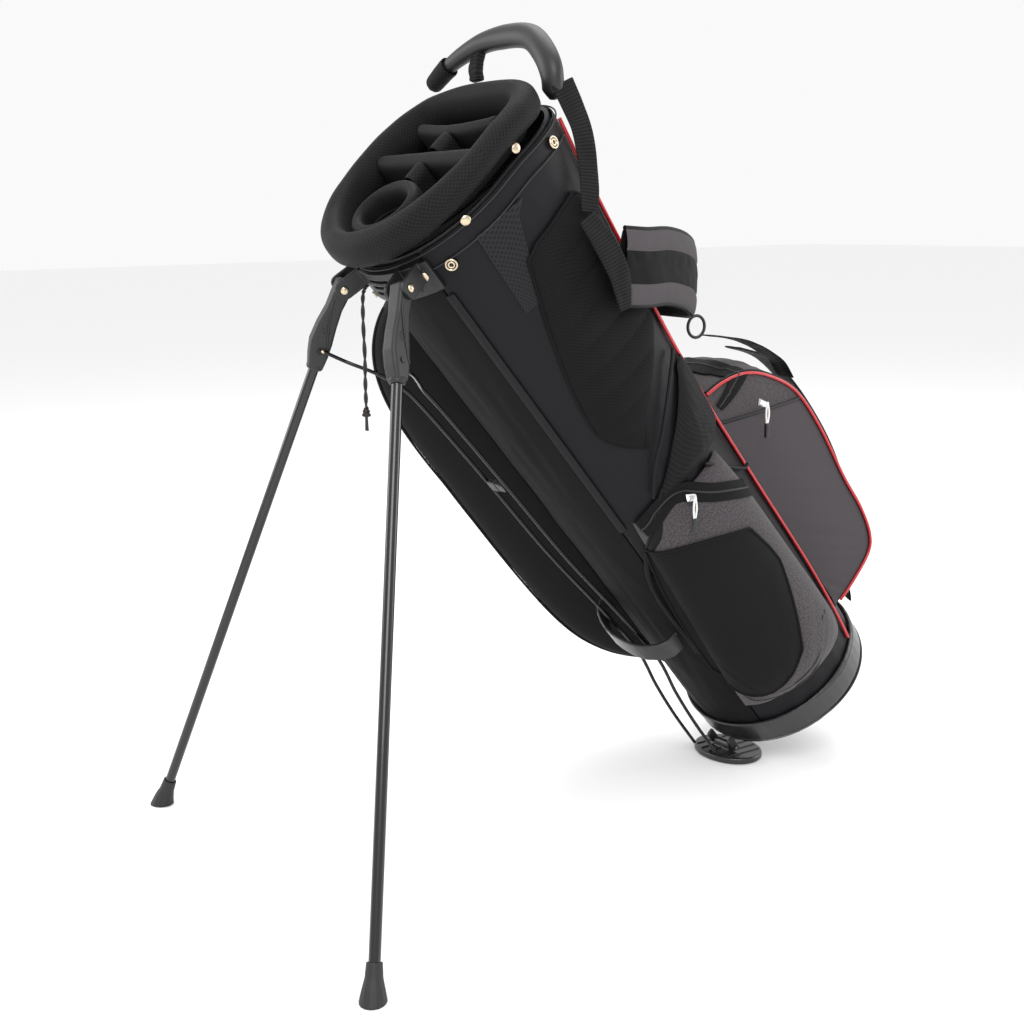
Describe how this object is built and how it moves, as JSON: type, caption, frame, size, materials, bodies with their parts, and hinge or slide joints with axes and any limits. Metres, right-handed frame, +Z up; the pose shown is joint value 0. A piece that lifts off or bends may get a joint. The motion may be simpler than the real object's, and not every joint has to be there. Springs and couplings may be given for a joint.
{
  "type": "golf stand bag",
  "caption": "Padded stand bag for golf clubs: divided collar, moulded carry handle, side, front and ball pockets, shoulder strap, folding legs and a hinged foot plate.",
  "frame": {"origin": "middle of the foot plate's flat underside, on the floor", "axes": "+Z up, -Y towards the legs and the way the bag's mouth leans, +X to the bag's right side; the bag's own axis leans 39 degrees from +Z towards -Y"},
  "size_m": [0.5784, 0.8983, 0.9014],
  "materials": {
    "fabric_black": "woven polyester, satin",
    "mesh_black": "perforated spacer mesh",
    "fabric_grey": "plain and heather grey woven polyester",
    "piping_red": "smooth covered cord",
    "moulded_black": "satin moulded plastic",
    "leg_black": "gloss black paint",
    "rubber_black": "matt rubber",
    "nickel": "pale warm nickel plate",
    "webbing_black": "ribbed webbing",
    "cord_black": "twisted cord",
    "pull_white": "white covered cord"
  },
  "bodies": {
    "bag": {"actuator_rod_left": "leg_black", "actuator_rod_right": "leg_black", "apparel_pocket": "fabric_black", "ball_pocket_lower": "fabric_grey", "ball_pocket_upper": "fabric_grey", "base_cup": "moulded_black", "body_front_panel": "fabric_black", "body_left_panel": "fabric_black", "body_right_panel": "fabric_black", "body_spine_panel": "moulded_black", "bottle_sleeve": "mesh_black", "carry_handle": "moulded_black", "collar_cuff": "mesh_black", "divider_centre_front": "mesh_black", "divider_centre_rear": "mesh_black", "divider_cross": "mesh_black", "divider_rear": "mesh_black", "hanging_cord": "cord_black", "hanging_cord_knot": "cord_black", "hip_pad": "mesh_black", "leg_pin_left": "nickel", "leg_pin_right": "nickel", "piping_left": "piping_red", "piping_right": "piping_red", "plate_lug_left": "moulded_black", "plate_lug_right": "moulded_black", "plate_pin": "nickel", "putter_well_ring": "mesh_black", "rear_tab": "webbing_black", "rivet_side": "nickel", "rivet_upper": "nickel", "rod_clip_socket": "moulded_black", "rod_guide_band": "moulded_black", "shoulder_pad": "fabric_grey", "side_pocket": "fabric_grey", "snap_lower": "nickel", "snap_upper": "nickel", "spine_grab_handle": "webbing_black", "stand_bracket": "moulded_black", "stay_spine": "moulded_black", "strap_adjuster": "moulded_black", "strap_ring": "moulded_black", "strap_webbing_far": "webbing_black", "strap_webbing_lower": "webbing_black", "strap_webbing_near": "webbing_black", "top_frame": "moulded_black"},
    "leg_right": {"knuckle_right": "moulded_black", "leg_tube_right": "leg_black", "leg_foot_right": "rubber_black"},
    "leg_left": {"knuckle_left": "moulded_black", "leg_tube_left": "leg_black", "leg_foot_left": "rubber_black"},
    "foot_plate_body": {"foot_plate": "moulded_black"},
    "slider_ball": {"zip_slider_ball": "nickel"},
    "slider_side": {"zip_slider_side": "nickel"},
    "slider_apparel": {"zip_slider_apparel": "nickel"},
    "pull_ball": {"zip_pull_ball": "pull_white"},
    "pull_side": {"zip_pull_side": "pull_white"},
    "pull_apparel": {"zip_pull_apparel": "pull_white"},
    "clip_prong": {"rod_clip_prong": "moulded_black"}
  },
  "joints": [
    {"name": "leg_right_fold", "type": "hinge", "parent": "bag", "child": "leg_right", "pos_m": [0.065, -0.50854, 0.62783], "axis": [0.9286, 0.2883, 0.2335], "range_deg": [0, 55.9], "deforming": ["actuator_rod_right"]},
    {"name": "leg_left_fold", "type": "hinge", "parent": "bag", "child": "leg_left", "pos_m": [-0.065, -0.50854, 0.62783], "axis": [0.9286, -0.2883, -0.2335], "range_deg": [0, 55.9], "deforming": ["actuator_rod_left"]},
    {"name": "foot_plate_hinge", "type": "hinge", "parent": "bag", "child": "foot_plate_body", "pos_m": [0, -0.00638, 0.01407], "axis": [1, 0, 0], "range_deg": [0, 38.95]},
    {"name": "zip_ball_slide", "type": "slide", "parent": "bag", "child": "slider_ball", "axis": [0.0854, 0.936, -0.3414], "range_m": [-0.05, 0]},
    {"name": "zip_ball_pull", "type": "hinge", "parent": "slider_ball", "child": "pull_ball", "pos_m": [0.1078, -0.05022, 0.48047], "axis": [-0.0159, 0.9999, 0], "range_deg": [-110, 0]},
    {"name": "zip_side_slide", "type": "slide", "parent": "bag", "child": "slider_side", "axis": [0.2877, 0.9552, 0.0701], "range_m": [0, 0.05]},
    {"name": "zip_side_pull", "type": "hinge", "parent": "slider_side", "child": "pull_side", "pos_m": [0.13736, -0.1838, 0.38826], "axis": [0.3171, 0.9484, 0], "range_deg": [-110, 0]},
    {"name": "zip_apparel_slide", "type": "slide", "parent": "bag", "child": "slider_apparel", "axis": [0, 0.6293, -0.7771], "range_m": [-0.15, 0]},
    {"name": "zip_apparel_pull", "type": "hinge", "parent": "slider_apparel", "child": "pull_apparel", "pos_m": [-0.1999, -0.31621, 0.47862], "axis": [0.2893, -0.9572, 0], "range_deg": [-110, 0]},
    {"name": "rod_clip_release", "type": "slide", "parent": "bag", "child": "clip_prong", "axis": [0, -0.7771, -0.6293], "range_m": [0, 0.012]}
  ],
  "couplings": [
    {"joint": "leg_left_fold", "follows": "leg_right_fold", "ratio": 1},
    {"joint": "foot_plate_hinge", "follows": "leg_right_fold", "ratio": 0.6968}
  ]
}
